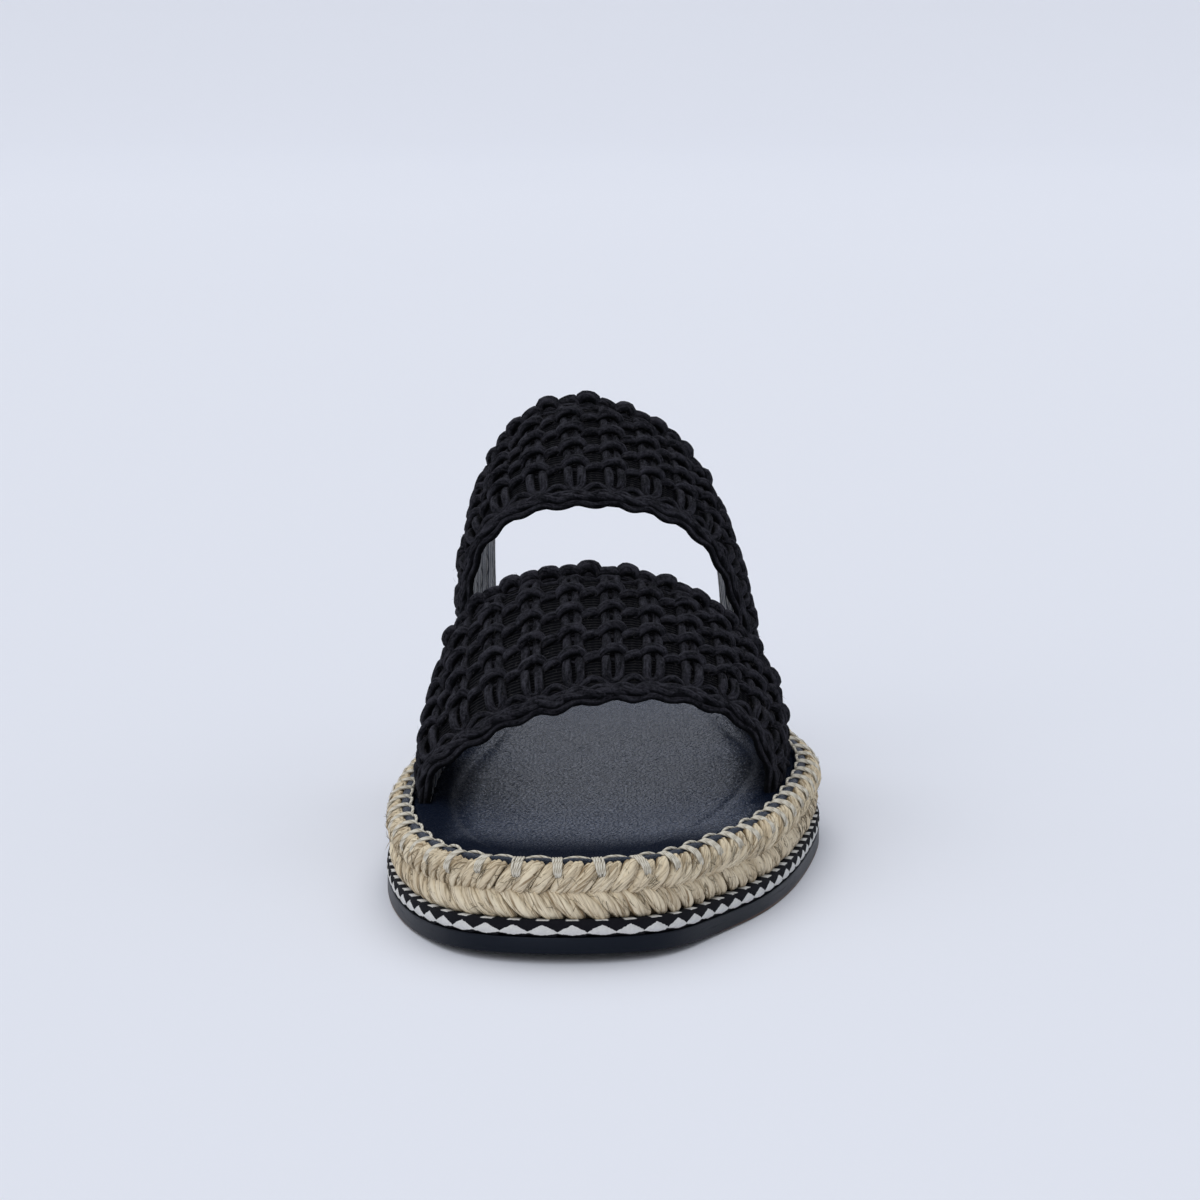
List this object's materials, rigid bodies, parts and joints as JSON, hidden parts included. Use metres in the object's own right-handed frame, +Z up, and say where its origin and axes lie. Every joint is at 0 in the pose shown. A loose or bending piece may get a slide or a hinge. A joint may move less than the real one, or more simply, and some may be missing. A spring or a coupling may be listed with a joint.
{
  "type": "espadrille sandal",
  "caption": "Open slide sandal with wide woven cord straps over a braided jute platform, moulded leather insole and thin rubber outsole.",
  "frame": {"origin": "centre of the sole's outline on the floor plane", "axes": "+Z up, +Y towards the heel, toe at -Y, -X the big toe's side"},
  "size_m": [0.099, 0.2558, 0.0969],
  "materials": {
    "outsole_rubber": "satin, smooth edge",
    "trim_braid": "matte black and white braid",
    "jute": "matte braided jute",
    "insole_leather": "fine grain, soft sheen",
    "binding_leather": "smooth, soft sheen",
    "strap_cord": "matte cotton cord"
  },
  "bodies": {
    "root": {"outsole": "outsole_rubber", "welt_trim": "trim_braid", "jute_midsole": "jute", "insole": "insole_leather", "insole_binding": "binding_leather", "front_strap": "strap_cord", "rear_strap": "strap_cord"}
  },
  "joints": []
}
